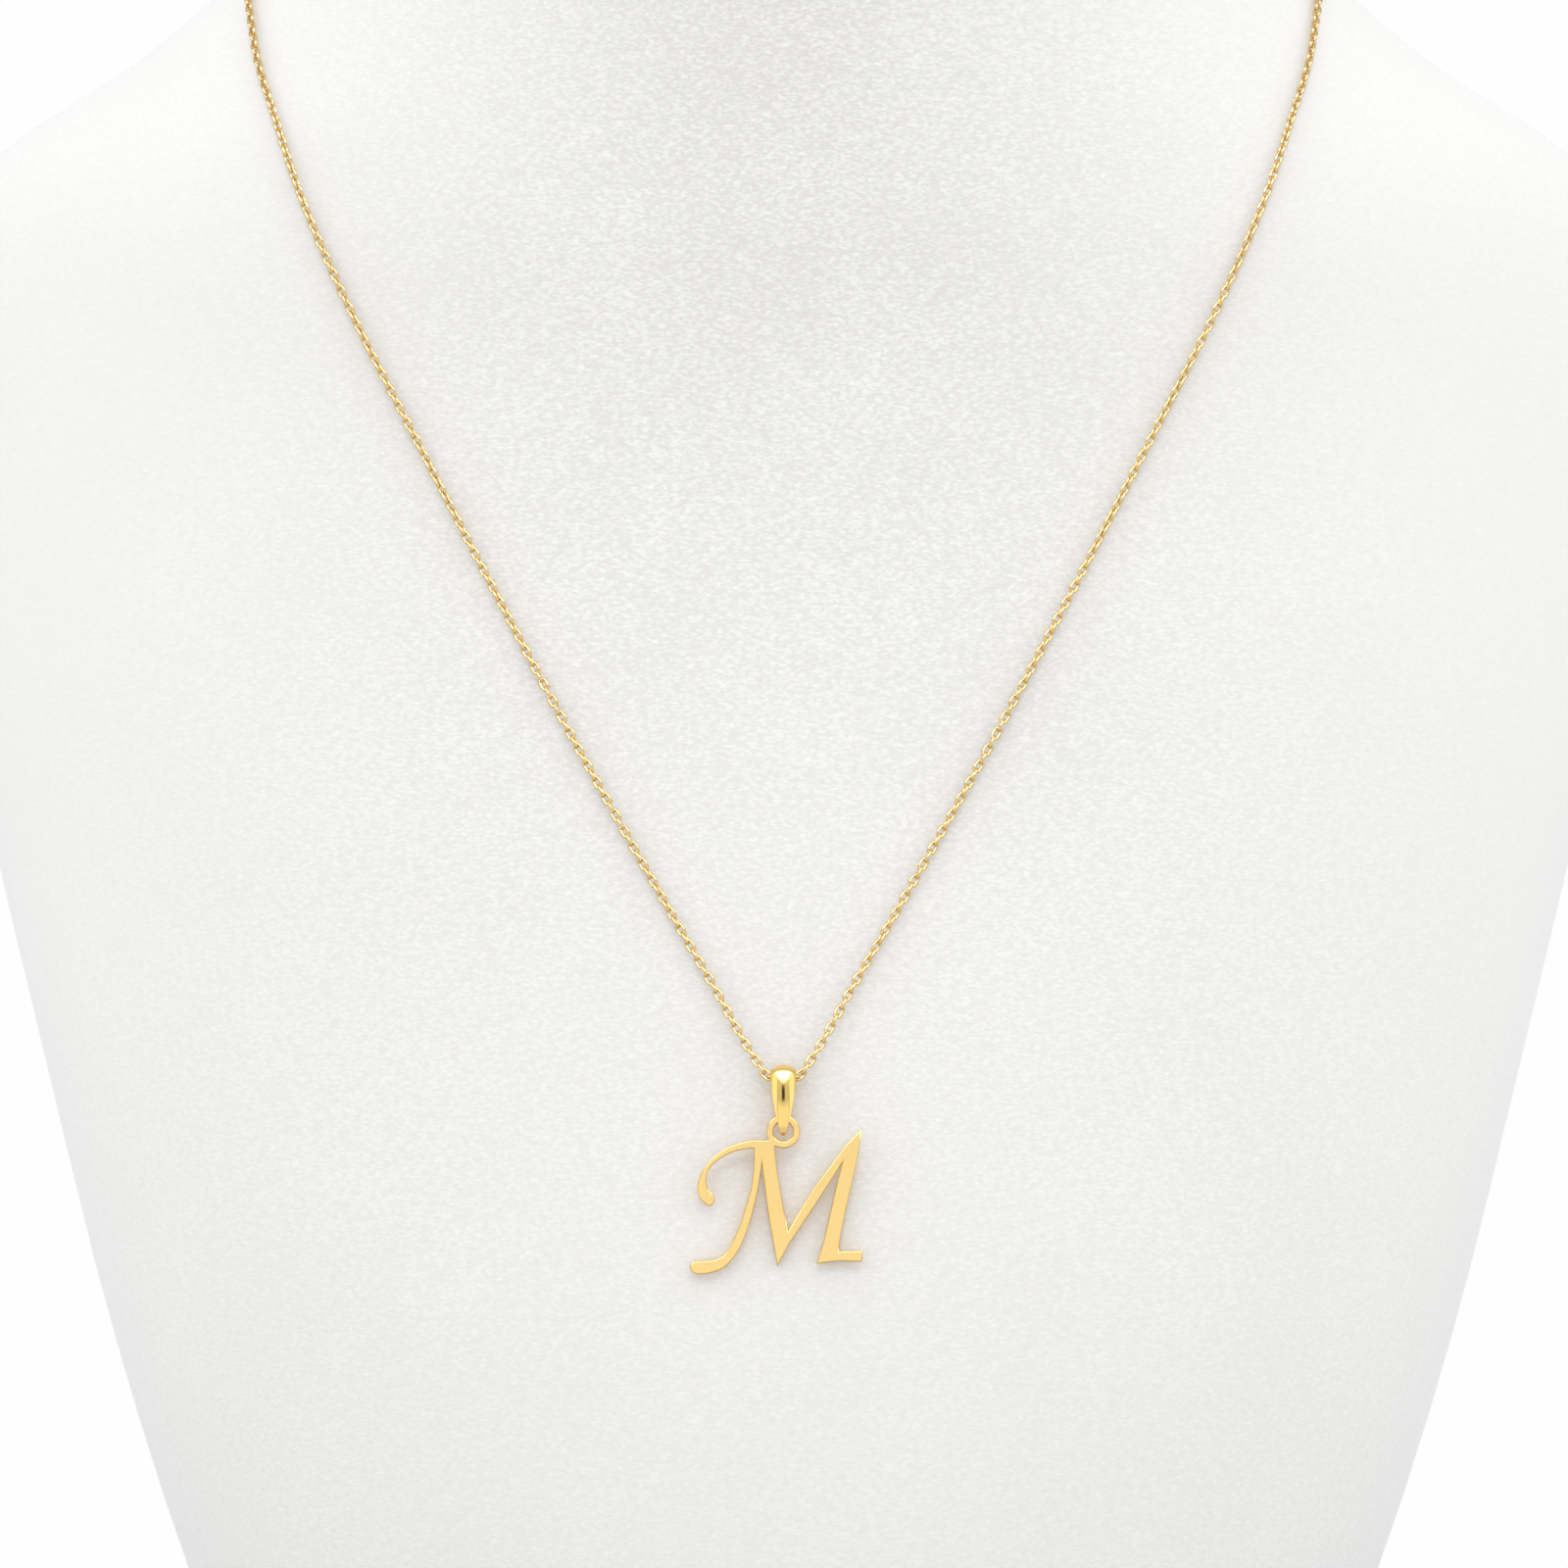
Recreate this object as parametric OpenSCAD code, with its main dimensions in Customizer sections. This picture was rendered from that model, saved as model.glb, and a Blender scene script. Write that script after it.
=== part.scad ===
// Initial pendant necklace on a neck bust: a script letter on a bail and a fine chain.
// The bust stands on z = 0 and faces -Y, and the chain lies round it from the nape to the chest.

/* [Bust] */
// Height of the bust
bust_h = 256; // [240:1:280]
// Height at which the shoulders are widest
shoulder_z = 166; // [158:1:174]
// Width across the shoulders
shoulder_w = 181; // [170:1:195]
// Depth of the chest, from front to back
chest_d = 108; // [100:1:118]
// Width of the neck
neck_w = 101; // [94:1:110]
// Depth of the neck
neck_d = 81; // [76:1:88]
// How far the middle of the neck stands behind the middle of the chest
neck_set = 7.7; // [5:0.1:10]

/* [Chain] */
// Width of the chain's links
chain_w = 0.93; // [0.75:0.01:1]
// Height of the chain's lowest point on the chest
drop_z = 91.9; // [86:0.1:100]
// Height of the clasp at the nape
nape_z = 219; // [212:1:226]
// Space between the chain and the bust
chain_gap = 0.22; // [0.18:0.01:0.4]

/* [Bail] */
// Distance from the chain to the letter's ring, middle to middle
bail_l = 4.15; // [3.6:0.05:5.2]
// Width of the bail under its arch
bail_w = 2.62; // [2.3:0.02:3]
// Width of the bail beside the letter's ring
bail_foot_w = 1.34; // [1.26:0.02:1.44]
// Thickness of the bail at the top of its arch
bail_wall = 0.68; // [0.6:0.02:0.8]
// Thickness of the bail beside the letter's ring
bail_foot_wall = 0.3; // [0.26:0.02:0.4]
// Solid tip below the letter's ring
bail_tip = 0.96; // [0.86:0.02:1.06]
// Radius of the bail's front and back, seen from its side
bail_round = 20; // [16:1:40]
// How much the bail's edges are thinner than its middle
bail_dome = 0.5; // [0.1:0.02:0.54]
// Space between the bail and the chain, all round
bail_play = 0.1; // [0.1:0.01:0.2]

/* [Letter] */
// Width of the letter
letter_w = 17.2; // [15:0.1:20]
// Height of the letter
letter_h = 14.5; // [12.5:0.1:16.5]
// Thickness of the letter and its ring
letter_t = 0.76; // [0.7:0.02:0.84]
// Outer diameter of the ring
ring_od = 3.29; // [3.2:0.01:3.5]
// Inner diameter of the ring
ring_id = 2.01; // [1.96:0.01:2.1]

/* [Clasp] */
// Outer diameter of the clasp's ring
clasp_od = 5.5; // [5:0.1:6.5]
// Thickness of the clasp's ring
clasp_wire = 1.1; // [0.9:0.05:1.3]
// Outer diameter of an eye
eye_od = 2; // [1.8:0.1:2.4]
// Thickness of an eye
eye_wire = 0.4; // [0.35:0.05:0.5]

/* [Hidden] */

// Space that the bail, the letter and the clasp keep from the bust
rest_gap = 0.15;
// Space between the letter's turning ring and the bail's foot
foot_play = 0.07;
// Space between the chain's ends and the clasp's eyes
end_gap = 0.12;
// How far behind the middle of the chest the axis stands that all sections are drawn around
axis_y = 4.7;
// How far inside the bail's edge the chain starts to bend
bend_inset = 0.09;
// How much slimmer the bail's tip is than its foot
tip_slim = 0.04;
// Step of height over which the bust's outward direction is taken
skin_step = 0.5;

LEATHER = [0.95, 0.94, 0.93];
GOLD = [0.98, 0.84, 0.52];

// Sections of the chest, from the base to the shoulders. Columns: height as a share of
// shoulder_z, width as a share of shoulder_w, front and back as shares of half of chest_d,
// and squareness of the outline, where 2 is an ellipse.
CHEST = [
    [0, 0.5, 0.83, 0.74, 2.3],
    [0.012, 0.52, 0.86, 0.76, 2.3],
    [0.08, 0.571, 0.93, 0.79, 2.3],
    [0.235, 0.687, 1, 0.845, 2.4],
    [0.38, 0.772, 0.99, 0.885, 2.45],
    [0.53, 0.843, 0.91, 0.92, 2.45],
    [0.68, 0.91, 0.795, 0.96, 2.45],
    [0.81, 0.965, 0.69, 0.985, 2.45],
    [0.92, 0.995, 0.605, 1, 2.4],
    [1, 1, 0.56, 1, 2.35],
];

// Sections from the shoulders to the top of the neck. Columns: height as a share of the way
// up, width as a share of the way from the neck's to the shoulders', front and back as
// shares of half of neck_d, and squareness.
NECK = [
    [0.12, 0.955, 0.915, 1.12, 2.3],
    [0.19, 0.89, 0.89, 1.115, 2.25],
    [0.24, 0.8, 0.875, 1.11, 2.2],
    [0.285, 0.655, 0.865, 1.1, 2.15],
    [0.33, 0.49, 0.858, 1.09, 2.1],
    [0.375, 0.36, 0.852, 1.08, 2.08],
    [0.42, 0.245, 0.85, 1.07, 2.05],
    [0.47, 0.155, 0.855, 1.06, 2],
    [0.54, 0.08, 0.87, 1.05, 2],
    [0.66, 0.025, 0.91, 1.03, 2],
    [0.82, 0.005, 0.96, 1.01, 2],
    [0.975, 0, 1, 1, 2],
    [1, -0.03, 0.97, 0.97, 2],
];

// Route of one half of the chain over the bust, from the pendant to the nape, after its bend
// at the bail. Columns: angle round the axis, where -90 is the chest and 90 the nape, height
// as a share of the way from drop_z to nape_z, and how much of the bail's stand-off is left.
ROUTE = [
    [-85.6, 0.03, 0.6],
    [-81.9, 0.075, 0.15],
    [-76.3, 0.137, 0],
    [-64.8, 0.26, 0],
    [-53.3, 0.385, 0],
    [-42.6, 0.511, 0],
    [-36, 0.606, 0],
    [-31.1, 0.693, 0],
    [-26.3, 0.766, 0],
    [-21.5, 0.815, 0],
    [-15.3, 0.867, 0],
    [-8.5, 0.904, 0],
    [-1, 0.93, 0],
    [10, 0.953, 0],
    [26, 0.974, 0],
    [45, 0.99, 0],
    [66, 0.998, 0],
];

// Outline of the letter in curved and straight stretches. Columns: across as a share of
// letter_w and up as a share of letter_h. The thin stroke that sweeps over to the left:
SWASH = [
    [0.45, 0.916],
    [0.373, 0.917],
    [0.278, 0.893],
    [0.196, 0.849],
    [0.131, 0.789],
    [0.083, 0.717],
    [0.055, 0.638],
    [0.051, 0.575],
    [0.066, 0.518],
    [0.106, 0.476],
    [0.132, 0.472],
    [0.149, 0.504],
    [0.142, 0.538],
    [0.11, 0.591],
    [0.101, 0.654],
    [0.123, 0.729],
    [0.178, 0.788],
    [0.264, 0.841],
    [0.347, 0.861],
    [0.376, 0.861],
];
// The first stem, down its left side, round its foot and up to the inner corner
STEM = [
    [0.376, 0.8],
    [0.372, 0.7],
    [0.359, 0.59],
    [0.334, 0.488],
    [0.289, 0.32],
    [0.225, 0.166],
    [0.186, 0.117],
    [0.14, 0.097],
    [0.07, 0.091],
    [0.028, 0.083],
    [0.008, 0.06],
    [0.014, 0.03],
    [0.042, 0.005],
    [0.112, 0.007],
    [0.205, 0.049],
    [0.286, 0.162],
    [0.342, 0.318],
    [0.381, 0.487],
    [0.401, 0.598],
    [0.421, 0.758],
];
// The broad stroke down, the thin stroke up, the second stem and its foot
STROKES = [
    [0.459, 0.406],
    [0.51, 0.054],
    [0.579, 0.209],
    [0.733, 0.482],
    [0.884, 0.764],
    [0.843, 0.573],
    [0.777, 0.234],
    [0.735, 0.074],
    [0.86, 0.093],
    [0.997, 0.088],
    [1, 0.162],
    [0.865, 0.156],
    [0.869, 0.234],
    [0.896, 0.404],
    [0.966, 0.763],
    [0.998, 0.995],
    [0.904, 0.884],
    [0.717, 0.584],
    [0.571, 0.293],
];
// The broad stroke's right side, up to the wall of the ring
CROWN = [
    [0.541, 0.488],
    [0.517, 0.65],
    [0.504, 0.753],
    [0.494, 0.872],
    [0.51, 0.898],
    [0.482, 0.946],
];
// Where the ring's wall meets the letter, and the direction from there to its middle
RING_FOOT = [0.486, 0.917];
RING_DIR = 41;

bust_sides = 60;
chest_steps = 3;
neck_steps = 2;
chain_sides = 8;
bail_rows = 9;
bail_arc_steps = 8;
bail_wide_steps = 8;
curve_steps = 6;
round_fn = 64;

function mix(a, b, k) = a + (b - a) * k;
function unit(v) = v / norm(v);

// One section of the bust: height, half width, front, back and squareness
ROWS = concat(
    [for (r = CHEST) [
        r[0] * shoulder_z,
        r[1] * shoulder_w / 2,
        -r[2] * chest_d / 2,
        r[3] * chest_d / 2,
        r[4],
    ]],
    [for (r = NECK) [
        mix(shoulder_z, bust_h, r[0]),
        mix(neck_w, shoulder_w, r[1]) / 2,
        neck_set - r[2] * neck_d / 2,
        neck_set + r[3] * neck_d / 2,
        r[4],
    ]]
);
LAST = len(ROWS) - 1;

function row_below(z, i = 0) = i >= LAST - 1 || ROWS[i + 1][0] > z ? i : row_below(z, i + 1);
function row_slope(i) =
    let (a = ROWS[max(i - 1, 0)], b = ROWS[min(i + 1, LAST)]) (b - a) / (b[0] - a[0]);

// The section at any height, on a smooth curve through the rows
function section(z) =
    let (
        i = row_below(z),
        h = ROWS[i + 1][0] - ROWS[i][0],
        u = (z - ROWS[i][0]) / h
    )
    (2 * pow(u, 3) - 3 * pow(u, 2) + 1) * ROWS[i]
    + (pow(u, 3) - 2 * pow(u, 2) + u) * h * row_slope(i)
    + (3 * pow(u, 2) - 2 * pow(u, 3)) * ROWS[i + 1]
    + (pow(u, 3) - pow(u, 2)) * h * row_slope(i + 1);

// A point of the bust's surface, at an angle round the axis and a height
function skin(angle, z) =
    let (
        s = section(z),
        depth = sin(angle) < 0 ? axis_y - s[2] : s[3] - axis_y,
        r = pow(pow(abs(cos(angle)) / s[1], s[4]) + pow(abs(sin(angle)) / depth, s[4]), -1 / s[4])
    )
    [r * cos(angle), axis_y + r * sin(angle), z];

function outward(angle, z) =
    unit(cross(
        skin(angle + 0.5, z) - skin(angle - 0.5, z),
        skin(angle, z + skin_step) - skin(angle, z - skin_step)
    ));

// The angle round the axis of the point of the chest that is x beside its middle
function chest_angle(x, z) =
    let (s = section(z))
    atan2((s[2] - axis_y) * pow(1 - pow(x / s[1], s[4]), 1 / s[4]), x);

// A smooth curve through points of any dimension
function bend(a, b, c, d, u) =
    (2 * b + (c - a) * u + (2 * a - 5 * b + 4 * c - d) * pow(u, 2)
    + (3 * b - a - 3 * c + d) * pow(u, 3)) / 2;
function curve(p, steps) =
    let (n = len(p) - 1)
    concat(
        [for (i = [0:n - 1], k = [0:steps - 1])
            bend(p[max(i - 1, 0)], p[i], p[i + 1], p[min(i + 2, n)], k / steps)],
        [p[n]]
    );

// The faces between a stack of closed rings of n points each, and those that close its ends
function loft_sides(rings, n) =
    [for (j = [0:rings - 2], i = [0:n - 1])
        let (a = j * n + i, b = j * n + (i + 1) % n)
        each [[a, a + n, b + n], [a, b + n, b]]];
function loft_ends(rings, n) =
    [[for (i = [0:n - 1]) i], [for (i = [n - 1:-1:0]) (rings - 1) * n + i]];
function loft_faces(rings, n) = concat(loft_sides(rings, n), loft_ends(rings, n));

// The plain neck bust, flat below and on top
module bust() {
    chest_rows = len(CHEST) - 1;
    heights = concat(
        [for (i = [0:chest_rows - 1], k = [0:chest_steps - 1])
            mix(ROWS[i][0], ROWS[i + 1][0], k / chest_steps)],
        [for (i = [chest_rows:LAST - 1], k = [0:neck_steps - 1])
            mix(ROWS[i][0], ROWS[i + 1][0], k / neck_steps)],
        [bust_h]
    );
    points = [for (z = heights, i = [0:bust_sides - 1])
        let (t = 360 * i / bust_sides)
        skin(atan2(chest_d * sin(t), shoulder_w * cos(t)), z)];
    color(LEATHER)
    polyhedron(points, loft_faces(len(heights), bust_sides), convexity = 4);
}

// The ring's wall, the radius along its middle, and how far its inner edge curves down
// beside the bail
ring_wall = (ring_od - ring_id) / 2;
ring_mid_r = (ring_od + ring_id) / 4;
ring_sag = ring_id / 2 - sqrt(pow(ring_id / 2, 2) - pow(bail_foot_w / 2, 2));

// The bail clears the chain in its arch and the turning ring in its foot
arch_r = chain_w / 2 + bail_play;
foot_r = norm([letter_t / 2, ring_wall / 2 + ring_sag]) + foot_play;
arch_out = arch_r + bail_wall;
foot_out = foot_r + bail_foot_wall;

// The chest where the pendant hangs: the chain's axis there and the way down along the bust
stand_off = arch_out + rest_gap;
HANG_OUT = outward(-90, drop_z);
HANG = skin(-90, drop_z) + stand_off * HANG_OUT;
chest_lean = atan2(HANG_OUT[2], -HANG_OUT[1]);

// The chain leaves the bail at this angle, after a bend that starts beside the arch
leave_angle = 58;
bend_r = 0.75 * chain_w;
bend_x = bail_w / 2 - bend_inset;
BEND = concat(
    [[0, 0], [bend_x, 0]],
    [for (k = [1:3]) let (a = leave_angle * k / 3) [bend_x + bend_r * sin(a), bend_r * (1 - cos(a))]]
);

// The half chain's route: angle, height and distance from the bust
chain_off = chain_w / 2 + chain_gap;
clasp_reach = clasp_od / 2 + eye_od - eye_wire + end_gap;
END_ANGLE = 90 - asin(clasp_reach / (neck_set + neck_d / 2 - axis_y));
HALF_ROUTE = concat(
    [for (p = BEND)
        let (z = drop_z + p[1] * cos(chest_lean))
        [chest_angle(p[0], z), z, stand_off]],
    curve(concat(
        [for (r = ROUTE) [r[0], mix(drop_z, nape_z, r[1]), mix(chain_off, stand_off, r[2])]],
        [[END_ANGLE, nape_z, chain_off]]
    ), 2)
);
HALF_PATH = [for (r = HALF_ROUTE)
    [skin(r[0], r[1]) + r[2] * outward(r[0], r[1]), outward(r[0], r[1])]];
function mirrored(v) = [-v[0], v[1], v[2]];
PATH = concat(
    [for (i = [len(HALF_PATH) - 1:-1:1]) [mirrored(HALF_PATH[i][0]), mirrored(HALF_PATH[i][1])]],
    HALF_PATH
);

// The chain, as a tube as wide as its links
module chain() {
    last = len(PATH) - 1;
    points = [for (i = [0:last])
        let (
            along = unit(PATH[min(i + 1, last)][0] - PATH[max(i - 1, 0)][0]),
            side = unit(cross(PATH[i][1], along)),
            up = cross(along, side)
        )
        for (k = [0:chain_sides - 1])
            let (a = 360 * (k + 0.5) / chain_sides)
            PATH[i][0] + chain_w / 2 * (cos(a) * side + sin(a) * up)];
    color(GOLD)
    polyhedron(points, loft_faces(last + 1, chain_sides), convexity = 8);
}

// The ring clasp at the nape, with an eye at each side for the chain's ends
module clasp() {
    seat = rest_gap + clasp_wire / 2;
    out = outward(90, nape_z);
    color(GOLD)
    translate(skin(90, nape_z) + seat * out)
    rotate([-atan2(out[1], out[2]), 0, 0]) {
        rotate_extrude($fn = round_fn)
            translate([(clasp_od - clasp_wire) / 2, 0])
                circle(d = clasp_wire, $fn = 24);
        for (side = [-1, 1])
            translate([side * (clasp_od / 2 + eye_od / 2 - eye_wire), 0, 0])
                rotate_extrude($fn = 32)
                    translate([(eye_od - eye_wire) / 2, 0])
                        circle(d = eye_wire, $fn = 16);
    }
}

// Places a piece that hangs at a point, with its back turned to the bust
module hung(at, lean) {
    translate(at)
        rotate([-lean, 0, 0])
            children();
}

// The bail's outline from the side: a round arch, a round tip, and a wide arc that runs into both
tip_r = foot_out - tip_slim;
tip_z = -(bail_l + foot_r + bail_tip - tip_r);
bail_bottom = tip_z - tip_r;
wide_z = (pow(tip_z, 2) - (arch_out - tip_r) * (2 * bail_round - arch_out - tip_r)) / (2 * tip_z);
wide_y = -sqrt(pow(bail_round - arch_out, 2) - pow(wide_z, 2));
wide_top = atan2(-wide_z, -wide_y);
wide_low = atan2(tip_z - wide_z, -wide_y);

// Half width of the bail at a height: round over the arch, tapered, and round at the tip
crown_r = 1.8 * arch_out;
tip_round = 0.35 * bail_foot_w;
function bail_half(z) =
    let (
        taper = mix(bail_w, bail_foot_w, pow(max(-z / bail_l, 0), 1.35)) / 2,
        low = min(z - (bail_bottom + tip_round), 0) / tip_round
    )
    z > 0 ? bail_w / 2 * sqrt(1 - pow(z / crown_r, 2)) : taper * sqrt(max(1 - pow(low, 2), 0.01));

// Points of the side outline with their outward directions, down the back from the top
BAIL_SIDE = concat(
    [for (k = [0:bail_arc_steps])
        let (a = mix(90, wide_top, k / bail_arc_steps))
        [[cos(a), sin(a)] * arch_out, [cos(a), sin(a)]]],
    [for (k = [1:bail_wide_steps - 1])
        let (a = mix(wide_top, wide_low, k / bail_wide_steps))
        [[wide_y, wide_z] + [cos(a), sin(a)] * bail_round, [cos(a), sin(a)]]],
    [for (k = [0:bail_arc_steps])
        let (a = mix(wide_low, -90, k / bail_arc_steps))
        [[0, tip_z] + [cos(a), sin(a)] * tip_r, [cos(a), sin(a)]]]
);

// The bail: a domed strip bent to a closed loop round the chain, with a solid rounded tip
module bail() {
    last = len(BAIL_SIDE) - 1;
    loop = concat(
        BAIL_SIDE,
        [for (i = [last - 1:-1:1]) [[-BAIL_SIDE[i][0][0], BAIL_SIDE[i][0][1]],
            [-BAIL_SIDE[i][1][0], BAIL_SIDE[i][1][1]]]]
    );
    n = len(loop);
    points = [for (j = [0:bail_rows - 1], p = loop)
        let (
            share = 2 * j / (bail_rows - 1) - 1,
            half = bail_half(p[0][1]),
            drop = bail_dome * pow(2 * half / bail_w, 2) * pow(share, 2),
            at = p[0] - drop * p[1]
        )
        [share * half, -at[0], at[1]]];
    cap = [for (i = [0:n / 2 - 1])
        let (a = i, b = i + 1, c = (n - i - 1) % n, d = (n - i) % n)
        each i == 0 ? [[a, b, c]] : i == n / 2 - 1 ? [[a, b, d]] : [[a, b, c], [a, c, d]]];
    far = (bail_rows - 1) * n;
    top = [for (f = cap) [f[2] + far, f[1] + far, f[0] + far]];
    color(GOLD)
    hung(HANG, chest_lean)
    difference() {
        polyhedron(points, concat(loft_sides(bail_rows, n), cap, top), convexity = 4);
        bail_hollow();
    }
}

// The space inside the bail: a bore for the chain, one for the ring, and what lies between
module bail_hollow() {
    tilt = asin((foot_r - arch_r) / bail_l);
    n = [cos(tilt), sin(tilt)];
    rotate([0, 90, 0])
        cylinder(r = arch_r, h = 2 * bail_w, center = true, $fn = round_fn);
    translate([0, 0, -bail_l])
        rotate([0, 90, 0])
            cylinder(r = foot_r, h = 2 * bail_w, center = true, $fn = round_fn);
    rotate([90, 0, 90])
        linear_extrude(2 * bail_w, center = true)
            polygon([
                n * arch_r,
                [-n[0], n[1]] * arch_r,
                [0, -bail_l] + [-n[0], n[1]] * foot_r,
                [0, -bail_l] + n * foot_r,
            ]);
}

// The letter hangs from the bail's foot and its lowest back edge rests near the bust
LETTER_HINGE = HANG + bail_l * [0, -sin(chest_lean), -cos(chest_lean)];
ring_at = [letter_w * RING_FOOT[0], letter_h * RING_FOOT[1]] + ring_mid_r * [cos(RING_DIR), sin(RING_DIR)];
letter_drop = ring_at[1] + ring_mid_r;
LETTER_REST = skin(-90, LETTER_HINGE[2] - letter_drop);
letter_lean = atan2(
    LETTER_HINGE[1] - (LETTER_REST[1] - rest_gap - letter_t / 2),
    letter_drop
);

function scaled(points) = [for (p = points) [p[0] * letter_w, p[1] * letter_h]];

// The letter and its ring, cut from one plate
module letter() {
    outline = concat(
        curve(SWASH, curve_steps),
        curve(STEM, curve_steps),
        STROKES,
        CROWN
    );
    color(GOLD)
    hung(LETTER_HINGE, letter_lean)
    translate([-ring_at[0], 0, -letter_drop])
    rotate([90, 0, 0])
    linear_extrude(letter_t, center = true)
    difference() {
        union() {
            polygon(scaled(outline));
            translate(ring_at)
                circle(d = ring_od, $fn = round_fn);
        }
        translate(ring_at)
            circle(d = ring_id, $fn = round_fn);
    }
}

bust();
chain();
clasp();
bail();
letter();
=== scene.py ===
import math

import bmesh
import bpy
from mathutils import Matrix, Vector
from mathutils.bvhtree import BVHTree


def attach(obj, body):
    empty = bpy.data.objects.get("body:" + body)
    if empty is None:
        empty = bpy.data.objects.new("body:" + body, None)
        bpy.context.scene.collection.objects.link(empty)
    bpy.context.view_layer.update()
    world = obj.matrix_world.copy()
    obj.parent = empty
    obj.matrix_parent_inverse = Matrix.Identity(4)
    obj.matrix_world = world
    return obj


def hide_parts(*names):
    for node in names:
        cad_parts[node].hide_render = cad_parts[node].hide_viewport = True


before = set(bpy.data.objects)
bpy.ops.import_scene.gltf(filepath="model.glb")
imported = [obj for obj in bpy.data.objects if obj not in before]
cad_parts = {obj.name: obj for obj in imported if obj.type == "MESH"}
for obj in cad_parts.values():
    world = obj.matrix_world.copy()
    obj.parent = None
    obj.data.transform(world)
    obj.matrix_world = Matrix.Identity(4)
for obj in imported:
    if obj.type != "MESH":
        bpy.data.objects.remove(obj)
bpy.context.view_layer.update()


# The camera stands level in front of the chest, far enough away that the bust shows almost
# no perspective, and frames it so close that the neck, the shoulders and the base are cut off.
MM = 0.001
CAMERA_AT = Vector((0.07, -913.4, 121.3)) * MM
LENS_MM = 200
SENSOR_MM = 36

bpy.ops.object.camera_add(location=CAMERA_AT, rotation=(math.radians(90), 0, 0))
camera = bpy.context.object
camera.data.lens = LENS_MM
camera.data.sensor_width = SENSOR_MM
bpy.context.scene.camera = camera


# The neck bust is a moulded core with thin white leatherette pulled smooth over it, with a fine
# wrinkled grain, and glued down under the base. It is shaped on a copy of the imported bust.
# The grain's hollows carry painted shade, which is deepest under the neck.
MERGE_WITHIN = 1e-6
FLAT_WITHIN = math.radians(0.2)
RIM_ANGLE = math.radians(50)
RIM_RADIUS = 1.2 * MM
RIM_SEGMENTS = 3
LEATHER_WHITE = (0.87, 0.862, 0.848, 1)
# Painted shade: the darker colour painted into the grain's hollows
LEATHER_HOLLOW_SHADE = (0.7, 0.69, 0.675, 1)
GRAIN_LENGTH = 0.62 * MM
GRAIN_HEIGHT = 0.27 * MM
GRAIN_DEPTH = 0.048 * MM
WRINKLE_SHARE = 0.7
WRINKLE_DISTORTION = 0.6
PEBBLE_SCALE = 0.8
PEBBLE_SMOOTHNESS = 0.4
CLOUDS_PER_M = 60
CLOUD_SHARE = 0.15
HOLLOW_SHADE_FROM = 0.4
HOLLOW_SHADE_TO = 0.85
LEATHER_ROUGH = 0.66
GRAIN_SHINE = 0.12
# The grain is deepest under the neck and gets finer downwards and outwards from the middle;
# the painted shade under the neck, laid in the grain's hollows, fades the same way
GRAIN_AND_SHADE_LOW_Z = 40 * MM
GRAIN_AND_SHADE_FULL_Z = 205 * MM
GRAIN_AND_SHADE_LEAST_LOW = 0.35
GRAIN_AND_SHADE_INNER = 30 * MM
GRAIN_AND_SHADE_OUTER = 95 * MM
GRAIN_AND_SHADE_LEAST_OUT = 0.2
GRAIN_AND_SHADE_OUT_FROM_Z = 100 * MM
GRAIN_AND_SHADE_OUT_SLOPE = 0.35


def select_nothing():
    """Clears the active mesh's selection and leaves it in object mode."""
    bpy.ops.object.mode_set(mode="EDIT")
    bpy.ops.mesh.select_all(action="DESELECT")
    bpy.ops.object.mode_set(mode="OBJECT")


def clean_copy(node, name):
    """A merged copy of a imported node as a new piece, which then stands for that node."""
    bpy.ops.object.select_all(action="DESELECT")
    piece = bpy.data.objects.new(name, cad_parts[node].data.copy())
    bpy.context.scene.collection.objects.link(piece)
    piece.data.materials.clear()
    piece.select_set(True)
    bpy.context.view_layer.objects.active = piece
    bpy.ops.object.mode_set(mode="EDIT")
    bpy.ops.mesh.select_all(action="SELECT")
    bpy.ops.mesh.remove_doubles(threshold=MERGE_WITHIN)
    bpy.ops.mesh.customdata_custom_splitnormals_clear()
    bpy.ops.mesh.dissolve_limited(angle_limit=FLAT_WITHIN)
    select_nothing()
    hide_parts(node)
    return piece


def soften_edges(piece, radius, segments, sharp):
    """Rounds the edges of a piece that are sharper than an angle, and shades the rest smooth."""
    bevel = piece.modifiers.new("Soft_edges", "BEVEL")
    bevel.width = radius
    bevel.segments = segments
    bevel.limit_method = "ANGLE"
    bevel.angle_limit = sharp
    bpy.context.view_layer.objects.active = piece
    bpy.ops.object.modifier_apply(modifier=bevel.name)
    bpy.ops.object.shade_smooth_by_angle(angle=sharp)


class Value:
    """A shader socket that can stand in a sum, a difference or a product."""

    def __init__(self, graph, socket):
        self.graph = graph
        self.socket = socket

    def maths(self, operation, *others):
        sockets = {i + 1: other for i, other in enumerate(others)}
        return self.graph.node("ShaderNodeMath", {"operation": operation}, {0: self, **sockets})

    def between(self, low, high, at_low=0.0, at_high=1.0):
        """Runs from one value to another while this one runs from low to high."""
        ranges = {"From Min": low, "From Max": high, "To Min": at_low, "To Max": at_high}
        settings = {"interpolation_type": "SMOOTHSTEP"}
        return self.graph.node("ShaderNodeMapRange", settings, {"Value": self, **ranges})

    def __add__(self, other):
        return self.maths("ADD", other)

    def __sub__(self, other):
        return self.maths("SUBTRACT", other)

    def __mul__(self, other):
        return self.maths("MULTIPLY", other)

    def __rsub__(self, other):
        return self.graph.node("ShaderNodeMath", {"operation": "SUBTRACT"}, {0: other, 1: self})

    __radd__ = __add__
    __rmul__ = __mul__


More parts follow.
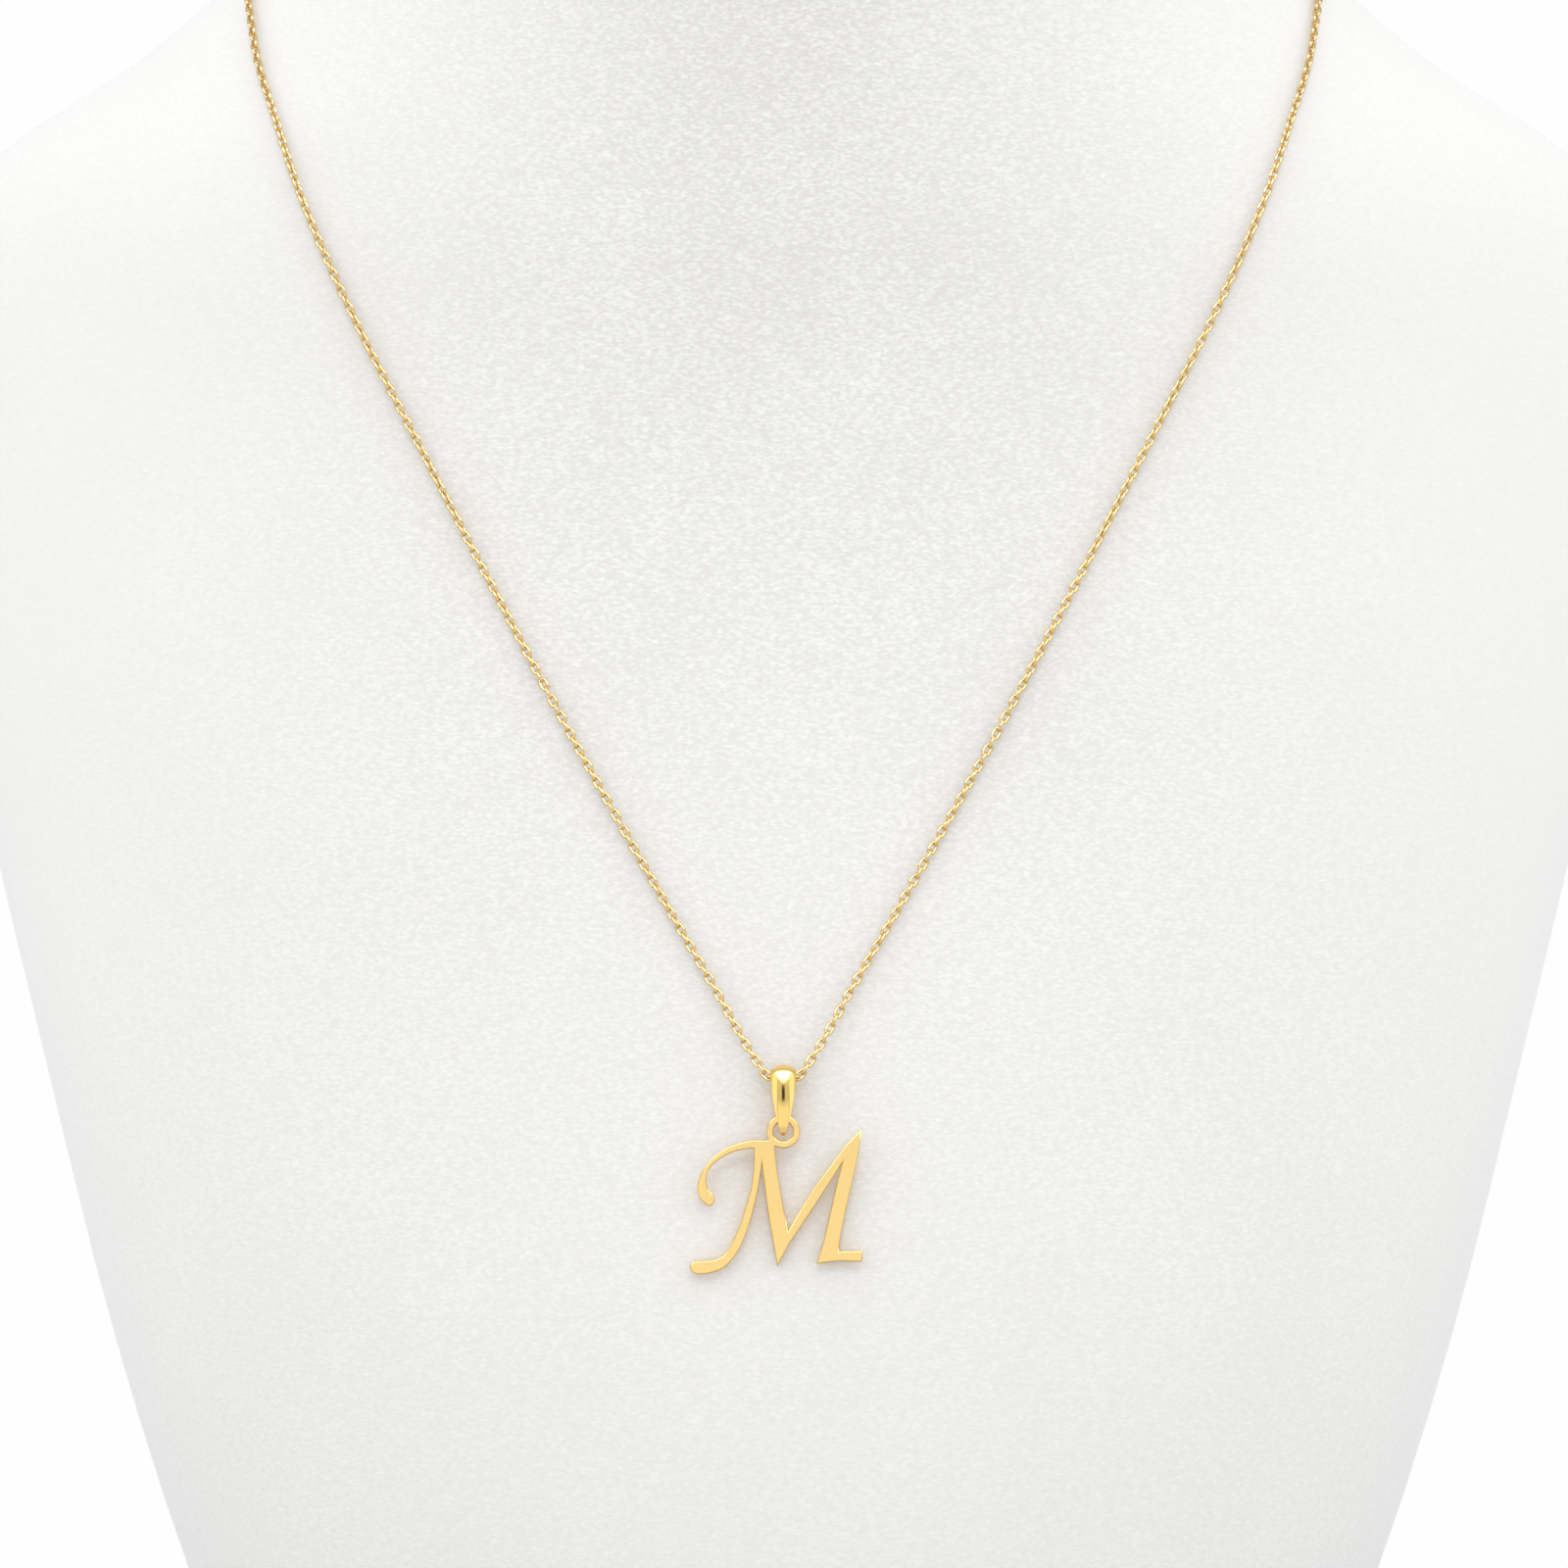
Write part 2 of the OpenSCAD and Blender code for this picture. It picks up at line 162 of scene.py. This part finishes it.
class Finish:
    """The nodes of one material, or of the studio's surroundings."""

    def __init__(self, name, owner=None):
        self.owner = owner or bpy.data.materials.new(name)
        self.owner.use_nodes = True
        self.tree = self.owner.node_tree
        self.tree.nodes.clear()

    def node(self, kind, settings=None, inputs=None, output=0):
        made = self.tree.nodes.new(kind)
        for key, value in (settings or {}).items():
            setattr(made, key, value)
        for key, value in (inputs or {}).items():
            if isinstance(value, Value):
                self.tree.links.new(value.socket, made.inputs[key])
            else:
                made.inputs[key].default_value = value
        return Value(self, made.outputs[output])

    def place(self, scale):
        """The piece's own coordinates, with a scale along each axis."""
        at = self.node("ShaderNodeTexCoord", output="Object")
        return self.node("ShaderNodeMapping", {}, {"Vector": at, "Scale": scale})

    def noise(self, per_m, detail):
        """Even noise with a number of bumps in each metre."""
        at = self.place((per_m, per_m, per_m))
        inputs = {"Vector": at, "Scale": 1.0, "Detail": detail}
        return self.node("ShaderNodeTexNoise", {}, inputs)

    def axis(self, vector, name):
        return self.node("ShaderNodeSeparateXYZ", {}, {"Vector": vector}, output=name)

    def mixed(self, share, a, b):
        """A colour that runs from a to b with a share between 0 and 1."""
        mix = self.tree.nodes.new("ShaderNodeMix")
        mix.data_type = "RGBA"
        for socket, value in ((mix.inputs[0], share), (mix.inputs[6], a), (mix.inputs[7], b)):
            if isinstance(value, Value):
                self.tree.links.new(value.socket, socket)
            else:
                socket.default_value = value
        return Value(self, mix.outputs[2])

    def surface(self, **inputs):
        named = {key.replace("_", " "): value for key, value in inputs.items()}
        shader = self.node("ShaderNodeBsdfPrincipled", {}, named)
        return self.close("ShaderNodeOutputMaterial", shader)

    def close(self, kind, shader):
        self.tree.links.new(shader.socket, self.tree.nodes.new(kind).inputs["Surface"])
        return self.owner


leather = Finish("white_leatherette")
grain_place = leather.place((1 / GRAIN_LENGTH, 1 / GRAIN_LENGTH, 1 / GRAIN_HEIGHT))
wrinkles = leather.node(
    "ShaderNodeTexNoise",
    {},
    {"Vector": grain_place, "Scale": 1.0, "Detail": 1.0, "Distortion": WRINKLE_DISTORTION},
)
pebbles = leather.node(
    "ShaderNodeTexVoronoi",
    {"feature": "SMOOTH_F1"},
    {"Vector": grain_place, "Scale": PEBBLE_SCALE, "Smoothness": PEBBLE_SMOOTHNESS},
)
clouds = leather.noise(CLOUDS_PER_M, 1.0)
grain = WRINKLE_SHARE * wrinkles + (1 - WRINKLE_SHARE) * (1 - pebbles)
where = leather.node("ShaderNodeTexCoord", output="Object")
beside = leather.axis(where, "X").maths("ABSOLUTE")
height = leather.axis(where, "Z")
outward = beside + GRAIN_AND_SHADE_OUT_SLOPE * (height - GRAIN_AND_SHADE_OUT_FROM_Z)
# Painted shade under the neck: this share deepens both the grain's bump and its painted shade
grain_depth_and_neck_shade = height.between(GRAIN_AND_SHADE_LOW_Z, GRAIN_AND_SHADE_FULL_Z, GRAIN_AND_SHADE_LEAST_LOW, 1)
grain_depth_and_neck_shade = grain_depth_and_neck_shade * outward.between(GRAIN_AND_SHADE_INNER, GRAIN_AND_SHADE_OUTER, 1, GRAIN_AND_SHADE_LEAST_OUT)
# Painted shade: the grain's hollows are painted darker, and darker still under the neck
painted_hollow_shade = (grain + CLOUD_SHARE * clouds).between(HOLLOW_SHADE_FROM, HOLLOW_SHADE_TO, 1, 0) * grain_depth_and_neck_shade
leather_bump = leather.node(
    "ShaderNodeBump", {}, {"Strength": 1.0, "Distance": GRAIN_DEPTH, "Height": grain * grain_depth_and_neck_shade}
)
leather_material = leather.surface(
    Base_Color=leather.mixed(painted_hollow_shade, LEATHER_WHITE, LEATHER_HOLLOW_SHADE),
    Roughness=LEATHER_ROUGH - GRAIN_SHINE * grain,
    Normal=leather_bump,
)

bust = clean_copy("bust", "neck_bust")
bpy.ops.object.mode_set(mode="EDIT")
bpy.ops.mesh.select_all(action="SELECT")
bpy.ops.mesh.tris_convert_to_quads(face_threshold=RIM_ANGLE, shape_threshold=RIM_ANGLE)
select_nothing()
soften_edges(bust, RIM_RADIUS, RIM_SEGMENTS, RIM_ANGLE)
bust.data.materials.append(leather_material)
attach(bust, "stand")


# The chain is a fine cable chain: soldered oval links of round gold wire, each through the next
# and turned a quarter against it. It lies round the bust from eye to eye of the clasp.
LINK_WIDTH = 0.97 * MM
LINK_LENGTH = 1.55 * MM
LINK_WIRE = 0.29 * MM
LINK_SIDES = 12
WIRE_SIDES = 6
DROP_Z = 91.9 * MM
NAPE_Z = 219 * MM
AXIS_Y = 4.7 * MM
WELL_OUTSIDE = 0.5
CHAIN_OFF = 0.685 * MM
BAIL_OFF = 1.395 * MM
BEND_START = 1.22 * MM
BEND_RADIUS = 0.7 * MM
BEND_STEPS = 3
LEAVE_ANGLE = math.radians(58)
CHEST_LEAN = math.radians(13)
END_LINK_AT = 4.41 * MM
CURVE_STEPS = 24
TWIST_LOW = math.radians(14)
TWIST_HIGH = math.radians(45)
TWIST_OVER_LINKS = 5
FAST_TWIST = math.radians(9)
FAST_TURN = 0.37
SLOW_TWIST = math.radians(7)
SLOW_TURN = 0.11
OFF_MIDDLE = 0.01 * MM
# Painted shade: the wire gets a darker copy of the bail's gold for the chain's dimmer reflections;
# the clasp shares it
WIRE_GOLD_PAINTED_DARKER = (0.76, 0.548, 0.24, 1)
GOLD_ROUGH = 0.05
GOLD_WEAR = 0.09
WEAR_PER_M = 900
# Angle round the bust's axis, share of the way up, share of the bail's stand-off that is left
ROUTE = [
    (-85.6, 0.03, 0.6),
    (-81.9, 0.075, 0.15),
    (-76.3, 0.137, 0),
    (-64.8, 0.26, 0),
    (-53.3, 0.385, 0),
    (-42.6, 0.511, 0),
    (-36, 0.606, 0),
    (-31.1, 0.693, 0),
    (-26.3, 0.766, 0),
    (-21.5, 0.815, 0),
    (-15.3, 0.867, 0),
    (-8.5, 0.904, 0),
    (-1, 0.93, 0),
    (10, 0.953, 0),
    (26, 0.974, 0),
    (45, 0.99, 0),
    (66, 0.998, 0),
]

bust_mesh = bmesh.new()
bust_mesh.from_mesh(bust.data)
bust_skin = BVHTree.FromBMesh(bust_mesh)
bust_mesh.free()


def off_bust(start, toward, distance):
    """The point at a distance from the bust's surface, and the way out from it there."""
    hit, normal, _, _ = bust_skin.ray_cast(start, toward)
    return hit + normal * distance, normal


half_route = []
bend = [(0.0, 0.0), (BEND_START / 2, 0.0), (BEND_START, 0.0)]
for step in range(1, BEND_STEPS + 1):
    turn = LEAVE_ANGLE * step / BEND_STEPS
    bend.append((BEND_START + BEND_RADIUS * math.sin(turn), BEND_RADIUS * (1 - math.cos(turn))))
for across, up in bend:
    start = Vector((across, -WELL_OUTSIDE, DROP_Z + up * math.cos(CHEST_LEAN)))
    half_route.append(off_bust(start, Vector((0, 1, 0)), BAIL_OFF))
for angle, share, lift in ROUTE:
    out = Vector((math.cos(math.radians(angle)), math.sin(math.radians(angle)), 0))
    start = Vector((0, AXIS_Y, DROP_Z + (NAPE_Z - DROP_Z) * share)) + WELL_OUTSIDE * out
    half_route.append(off_bust(start, -out, CHAIN_OFF + (BAIL_OFF - CHAIN_OFF) * lift))
start = Vector((END_LINK_AT, WELL_OUTSIDE, NAPE_Z))
half_route.append(off_bust(start, Vector((0, -1, 0)), CHAIN_OFF))


def smooth_path(points):
    """Points on a curve that runs smoothly through all of the given ones."""
    path = []
    last = len(points) - 1
    for i in range(last):
        a, b, c, d = points[max(i - 1, 0)], points[i], points[i + 1], points[min(i + 2, last)]
        for step in range(CURVE_STEPS):
            u = step / CURVE_STEPS
            square = (2 * a - 5 * b + 4 * c - d) * u**2
            cube = (3 * b - a - 3 * c + d) * u**3
            path.append((2 * b + (c - a) * u + square + cube) / 2)
    return path + [points[last]]


line = smooth_path([at for at, _ in half_route])
outs = smooth_path([out for _, out in half_route])
gone = [0.0]
for before, after in zip(line, line[1:]):
    gone.append(gone[-1] + (after - before).length)


def along(distance):
    """The point at a distance along the route, and the way out from the bust there."""
    k = max(j for j in range(len(gone) - 1) if gone[j] <= abs(distance))
    u = (abs(distance) - gone[k]) / (gone[k + 1] - gone[k])
    at, out = line[k].lerp(line[k + 1], u), outs[k].lerp(outs[k + 1], min(u, 1))
    flip = Vector((-1 if distance < 0 else 1, 1, 1))
    return at * flip, out * flip


# An odd count, so that the last link stands edge-on in the clasp's eye
half_links = 2 * round(gone[-1] / (LINK_LENGTH - 2 * LINK_WIRE) / 2) + 1
pitch = gone[-1] / half_links

bpy.ops.object.select_all(action="DESELECT")
bpy.ops.mesh.primitive_torus_add(
    major_segments=LINK_SIDES,
    minor_segments=WIRE_SIDES,
    major_radius=(LINK_WIDTH - LINK_WIRE) / 2,
    minor_radius=LINK_WIRE / 2,
)
link = bpy.context.object
for end in (-1, 1):
    select_nothing()
    for vertex in link.data.vertices:
        vertex.select = vertex.co.x * end > OFF_MIDDLE
    bpy.ops.object.mode_set(mode="EDIT")
    bpy.ops.transform.translate(value=(end * (LINK_LENGTH - LINK_WIDTH) / 2, 0, 0))
    bpy.ops.object.mode_set(mode="OBJECT")
bpy.ops.object.shade_smooth()

links = []
for side in (-1, 1):
    for i in range(0 if side > 0 else 1, half_links + 1):
        inner, _ = along(i * pitch - pitch / 2)
        outer, _ = along(i * pitch + pitch / 2)
        _, out = along(i * pitch)
        way = (outer - inner).normalized()
        across = out.cross(way).normalized()
        level = way.cross(across)
        from_end = min(i, half_links - i)
        twist = TWIST_LOW + (TWIST_HIGH - TWIST_LOW) * i / half_links
        twist += FAST_TWIST * math.sin(FAST_TURN * i + side) + SLOW_TWIST * math.sin(SLOW_TURN * i)
        twist *= 1 - math.exp(-from_end / TWIST_OVER_LINKS)
        roll = math.radians(90) * (i % 2) + twist
        wide = across * math.cos(roll) + level * math.sin(roll)
        turned = Matrix((way, wide, way.cross(wide))).transposed().to_4x4()
        placed = Matrix.Translation((inner + outer) / 2) @ turned
        if side < 0:
            placed = Matrix.Diagonal((-1, 1, 1, 1)) @ placed @ Matrix.Diagonal((1, -1, 1, 1))
        copy = bpy.data.objects.new("link", link.data.copy())
        copy.data.transform(placed)
        bpy.context.scene.collection.objects.link(copy)
        links.append(copy)
bpy.data.objects.remove(link)
bpy.ops.object.select_all(action="DESELECT")
for copy in links:
    copy.select_set(True)
bpy.context.view_layer.objects.active = links[0]
bpy.ops.object.join()
chain = bpy.context.object
chain.name = "cable_chain"


def polished(name, colour):
    """Bright gold with faint wear from handling."""
    gold = Finish(name)
    rough = GOLD_WEAR * gold.noise(WEAR_PER_M, 2.0) + GOLD_ROUGH
    return gold.surface(Base_Color=colour, Metallic=1.0, Roughness=rough)


wire_material = polished("gold_wire", WIRE_GOLD_PAINTED_DARKER)
chain.data.materials.append(wire_material)
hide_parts("chain")
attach(chain, "stand")


# The clasp is a plain ring of gold wire that lies flat on the nape, with a small eye soldered to
# each side, which the chain's last links go through.
CLASP_SHARP = math.radians(40)

clasp = clean_copy("clasp", "ring_clasp")
bpy.ops.object.shade_smooth_by_angle(angle=CLASP_SHARP)
clasp.data.materials.append(wire_material)
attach(clasp, "stand")


# The bail is a tapered strip of domed gold, bent over the chain and soldered to a rounded tip.
# It is polished bright, and its edges are only just broken.
BAIL_EDGE = 0.04 * MM
BAIL_SEGMENTS = 2
BAIL_SHARP = math.radians(38)
BAIL_GOLD = (0.96, 0.665, 0.22, 1)

bail = clean_copy("bail", "polished_bail")
soften_edges(bail, BAIL_EDGE, BAIL_SEGMENTS, BAIL_SHARP)
bail.data.materials.append(polished("polished_gold", BAIL_GOLD))
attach(bail, "bail")


# The letter and its ring are sawn from one flat gold plate. The edges are rounded over by
# polishing, and their colour is painted a little darker as painted shade. The flat face has a
# soft satin shine.
LETTER_EDGE = 0.12 * MM
LETTER_SEGMENTS = 3
LETTER_SHARP = math.radians(40)
LETTER_THICK = 0.76 * MM
LETTER_FACING = 0.99
RIM_SHADE_DEPTH = 0.15 * LETTER_EDGE
SATIN_ROUGH = 0.13
SATIN_BRUSHED = 0.06
BRUSHED_PER_M = 1500
SATIN_GOLD = (0.985, 0.7, 0.275, 1)
RIM_SHADE_GOLD = (0.8, 0.5, 0.16, 1)

letter = clean_copy("letter", "script_letter")
face = max(letter.data.polygons, key=lambda polygon: polygon.area)
faces_to = face.normal.copy()
middle = faces_to.dot(face.center) - LETTER_THICK / 2
bpy.ops.object.mode_set(mode="EDIT")
bpy.ops.mesh.select_mode(type="FACE")
select_nothing()
for polygon in letter.data.polygons:
    polygon.select = abs(polygon.normal.dot(faces_to)) > LETTER_FACING
bpy.ops.object.mode_set(mode="EDIT")
bpy.ops.mesh.region_to_loop()
bpy.ops.mesh.bevel(offset=LETTER_EDGE, segments=LETTER_SEGMENTS, clamp_overlap=False)
bpy.ops.object.mode_set(mode="OBJECT")
bpy.ops.object.shade_smooth_by_angle(angle=LETTER_SHARP)
# The rims' smooth shading doesn't spread over the flat faces
level = letter.modifiers.new("Level_faces", "WEIGHTED_NORMAL")
level.weight = 100
bpy.ops.object.modifier_apply(modifier=level.name)

satin = Finish("satin_gold")
through = satin.node(
    "ShaderNodeVectorMath",
    {"operation": "DOT_PRODUCT"},
    {0: satin.node("ShaderNodeTexCoord", output="Object"), 1: faces_to},
    output="Value",
)
from_middle = (through - middle).maths("ABSOLUTE")
# Painted shade: the colour darkens towards the plate's rims
painted_rim_shade = from_middle.between(LETTER_THICK / 2 - RIM_SHADE_DEPTH, LETTER_THICK / 2, 1, 0)
satin_material = satin.surface(
    Base_Color=satin.mixed(painted_rim_shade, SATIN_GOLD, RIM_SHADE_GOLD),
    Metallic=1.0,
    Roughness=SATIN_BRUSHED * satin.noise(BRUSHED_PER_M, 2.0) + SATIN_ROUGH,
)
letter.data.materials.append(satin_material)
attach(letter, "letter")


# The studio: a pale table that runs out into a white backdrop, a softbox high in front for the
# shadows and a low fill. What the gold mirrors is set apart: an oval softbox, bright side walls
# and one dark card, which draws the bar on the bail.
TABLE_SIZE = 6
TABLE_NEAR = 0.25
TABLE_FAR = 0.4
BACKDROP_WHITE = (0.99, 0.99, 0.99, 1)
TABLE_GREY = (0.68, 0.68, 0.68, 1)
SKY_COLOUR = (0.968, 0.984, 1, 1)
# Brightness of each zone. Each pair of angles below is where it fades from one zone to the next,
# in degrees aside from straight in front or up from level.
AIR_FRONT = 0.28
AIR_SIDES = 1.5
AIR_BEHIND = 0.72
AIR_HIGH = 1.42
AIR_SIDES_FROM = (20, 60)
AIR_BEHIND_FROM = (100, 150)
AIR_HIGH_FROM = (45, 75)
MIRROR_FRONT = 0.74
MIRROR_SIDES = 1.25
MIRROR_SIDES_FROM = (39, 45)
MIRROR_LOW = 1.1
MIRROR_LOW_TO_SIDE = (32, 39)
MIRROR_LOW_UP_TO = (14, 17)
MIRROR_CARD = 0.05
MIRROR_CARD_TO_SIDE = (9.5, 11.5)
MIRROR_CARD_FROM = (17.5, 18.5)
MIRROR_CARD_UP_TO = (27, 28)
MIRROR_HIGH = 0.8
MIRROR_HIGH_FROM = (40, 48)
MIRROR_BEHIND = 0.7
MIRROR_BEHIND_FROM = (70, 80)
MIRROR_SOFTBOX = 4.5
SOFTBOX_CLIMB = 46
SOFTBOX_HALF_WIDTH = 66
SOFTBOX_HALF_HEIGHT = 17
SOFTBOX_FADE = (0.85, 1.05)
KEY_AT = (0, -1.5, 1.9)
KEY_TURN = math.radians(40)
KEY_SIZE = 0.7
KEY_WATTS = 7.4
KEY_WARMTH = (1, 0.967, 0.92)
FILL_AT = (0, -0.6, 0.1)
FILL_SIZE = 0.3
FILL_WATTS = 0.47

bpy.ops.object.select_all(action="DESELECT")
bpy.ops.mesh.primitive_plane_add(size=TABLE_SIZE, location=(0, 0, 0))
table = bpy.context.object
table.name = "table"
table_finish = Finish("pale_table")
spot = table_finish.node("ShaderNodeTexCoord", output="Object")
far_off = table_finish.node(
    "ShaderNodeVectorMath", {"operation": "LENGTH"}, {0: spot}, output="Value"
)
paper = table_finish.node("ShaderNodeBsdfDiffuse", {}, {"Color": TABLE_GREY})
glow = table_finish.node("ShaderNodeEmission", {}, {"Color": BACKDROP_WHITE})
fade = far_off.between(TABLE_NEAR, TABLE_FAR)
table_mix = table_finish.node("ShaderNodeMixShader", {}, {0: fade, 1: paper, 2: glow})
table.data.materials.append(table_finish.close("ShaderNodeOutputMaterial", table_mix))

world = bpy.data.worlds.new("studio")
bpy.context.scene.world = world
studio = Finish("studio", world)
direction = studio.node("ShaderNodeTexCoord", output="Generated")
to_right = studio.axis(direction, "X").maths("ABSOLUTE")
to_front = -1 * studio.axis(direction, "Y")
aside = to_right.maths("ARCTAN2", to_front) * math.degrees(1)
climb = studio.axis(direction, "Z").maths("ARCSINE") * math.degrees(1)
mirror_low = climb.between(*MIRROR_LOW_UP_TO, 1, 0) * aside.between(*MIRROR_LOW_TO_SIDE, 1, 0)
mirror_card = climb.between(*MIRROR_CARD_FROM) * climb.between(*MIRROR_CARD_UP_TO, 1, 0)
mirror_card = mirror_card * aside.between(*MIRROR_CARD_TO_SIDE, 1, 0)
out_wide = (aside * (1 / SOFTBOX_HALF_WIDTH)).maths("POWER", 4)
out_high = ((climb - SOFTBOX_CLIMB) * (1 / SOFTBOX_HALF_HEIGHT)).maths("POWER", 2)
mirror_softbox = (out_wide + out_high).between(*SOFTBOX_FADE, 1, 0)


def layered(bottom, top, cover):
    """One brightness laid over another where its cover is 1."""
    return bottom * (1 - cover) + top * cover


mirrored = aside.between(*MIRROR_SIDES_FROM, MIRROR_FRONT, MIRROR_SIDES)
mirrored = layered(mirrored, MIRROR_LOW, mirror_low)
mirrored = layered(mirrored, MIRROR_CARD, mirror_card)
mirrored = layered(mirrored, MIRROR_HIGH, climb.between(*MIRROR_HIGH_FROM))
mirrored = layered(mirrored, MIRROR_BEHIND, aside.between(*MIRROR_BEHIND_FROM))
mirrored = layered(mirrored, MIRROR_SOFTBOX, mirror_softbox)
air = aside.between(*AIR_SIDES_FROM, AIR_FRONT, AIR_SIDES)
air = layered(air, AIR_BEHIND, aside.between(*AIR_BEHIND_FROM))
air = layered(air, AIR_HIGH, climb.between(*AIR_HIGH_FROM))
glossy = studio.node("ShaderNodeLightPath", output="Is Glossy Ray")
seen = studio.node("ShaderNodeLightPath", output="Is Camera Ray")
light = studio.node(
    "ShaderNodeBackground",
    {},
    {"Color": SKY_COLOUR, "Strength": layered(air, mirrored, glossy)},
)
backdrop = studio.node("ShaderNodeBackground", {}, {"Color": BACKDROP_WHITE})
surroundings = studio.node("ShaderNodeMixShader", {}, {0: seen, 1: light, 2: backdrop})
studio.close("ShaderNodeOutputWorld", surroundings)

for at, turn, size, watts in (
    (KEY_AT, KEY_TURN, KEY_SIZE, KEY_WATTS),
    (FILL_AT, math.radians(90), FILL_SIZE, FILL_WATTS),
):
    bpy.ops.object.light_add(type="AREA", location=at, rotation=(turn, 0, 0))
    lamp = bpy.context.object
    lamp.data.size = size
    lamp.data.energy = watts
    lamp.data.color = KEY_WARMTH
    lamp.visible_camera = False
    lamp.visible_glossy = False
bpy.context.scene.view_settings.view_transform = "Standard"
